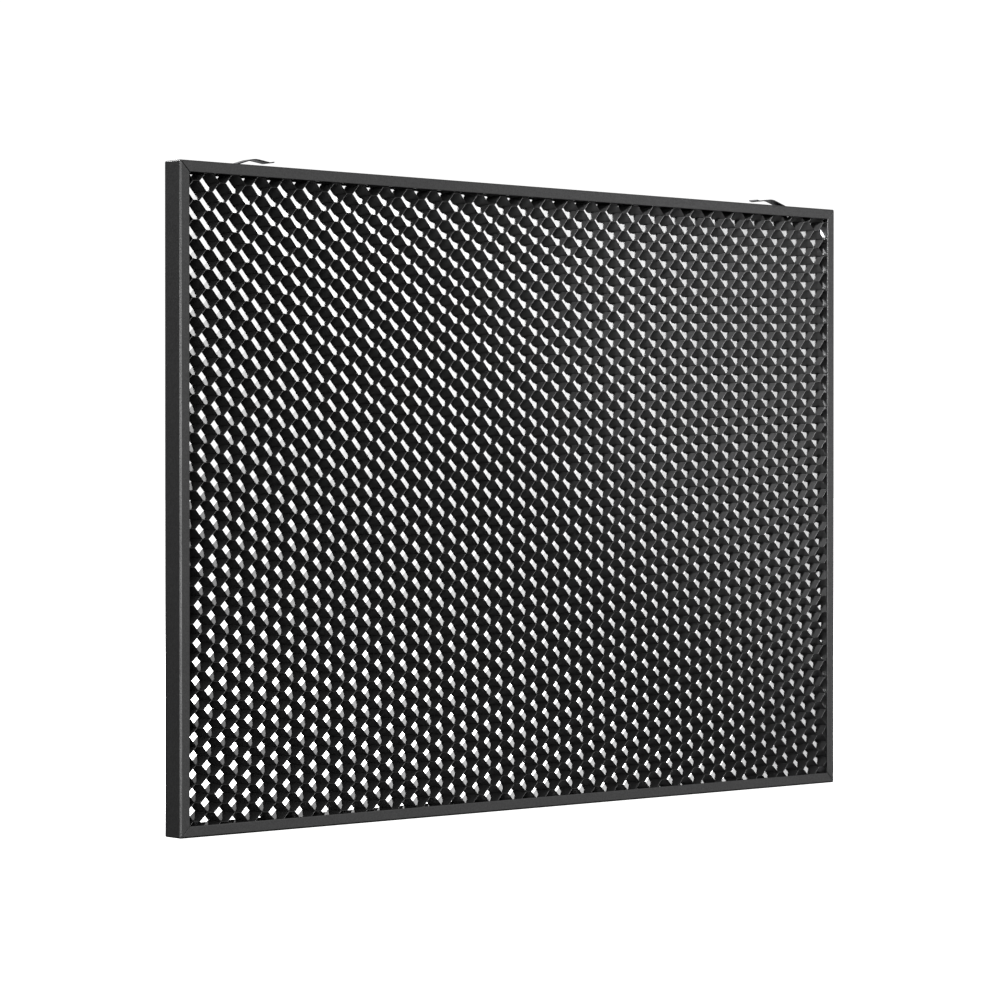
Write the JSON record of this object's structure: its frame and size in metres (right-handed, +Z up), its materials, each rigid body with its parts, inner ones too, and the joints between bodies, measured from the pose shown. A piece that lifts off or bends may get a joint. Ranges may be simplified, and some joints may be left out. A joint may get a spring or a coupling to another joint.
{
  "type": "honeycomb light grid",
  "caption": "Black framed honeycomb grid that narrows the beam of a rectangular panel light, with two leaf-spring clips on its top rail.",
  "frame": {"origin": "centre of the bottom rail's underside, at mid-depth: the middle of the bottom of the box around the part", "axes": "+X along the grid's width to the right as seen from the front, +Y to the rear, the side that faces the light, +Z up towards the clips"},
  "size_m": [0.43, 0.0124, 0.3081],
  "materials": {
    "frame_coating": "satin black powder coat on formed aluminium channel",
    "key_steel": "plain zinc-plated pressed steel, hidden in the channel",
    "spring_steel": "blued spring steel, nearly black, satin",
    "rivet_coating": "satin black, flush with the rail",
    "black_foil": "thin aluminium foil with a matt black coating, bare on some cut edges"
  },
  "bodies": {
    "grid": {"bottom_rail": "frame_coating", "top_rail": "frame_coating", "left_rail": "frame_coating", "right_rail": "frame_coating", "corner_key_bottom_left": "key_steel", "corner_key_top_left": "key_steel", "corner_key_top_right": "key_steel", "corner_key_bottom_right": "key_steel", "left_clip_foot": "spring_steel", "left_clip_rivet": "rivet_coating", "right_clip_foot": "spring_steel", "right_clip_rivet": "rivet_coating", "honeycomb_strips_01": "black_foil", "honeycomb_strips_02": "black_foil", "honeycomb_strips_03": "black_foil", "honeycomb_strips_04": "black_foil", "honeycomb_strips_05": "black_foil", "honeycomb_strips_06": "black_foil", "honeycomb_strips_07": "black_foil", "honeycomb_strips_08": "black_foil", "honeycomb_strips_09": "black_foil", "honeycomb_strips_10": "black_foil", "honeycomb_strips_11": "black_foil", "honeycomb_strips_12": "black_foil", "honeycomb_strips_13": "black_foil", "honeycomb_strips_14": "black_foil", "honeycomb_strips_15": "black_foil", "honeycomb_strips_16": "black_foil", "honeycomb_strips_17": "black_foil", "honeycomb_strips_18": "black_foil", "honeycomb_strips_19": "black_foil", "honeycomb_strips_20": "black_foil", "honeycomb_strips_21": "black_foil", "honeycomb_strips_22": "black_foil", "honeycomb_strips_23": "black_foil"},
    "left_leaf": {"left_clip_leaf": "spring_steel"},
    "right_leaf": {"right_clip_leaf": "spring_steel"}
  },
  "joints": [
    {"name": "left_clip_press", "type": "hinge", "parent": "grid", "child": "left_leaf", "pos_m": [-0.1794, 0, 0.30545], "axis": [0, 1, 0], "range_deg": [0, 5], "stiffness_Nm_per_rad": 0.2},
    {"name": "right_clip_press", "type": "hinge", "parent": "grid", "child": "right_leaf", "pos_m": [0.1794, 0, 0.30545], "axis": [0, -1, 0], "range_deg": [0, 5], "stiffness_Nm_per_rad": 0.2}
  ]
}
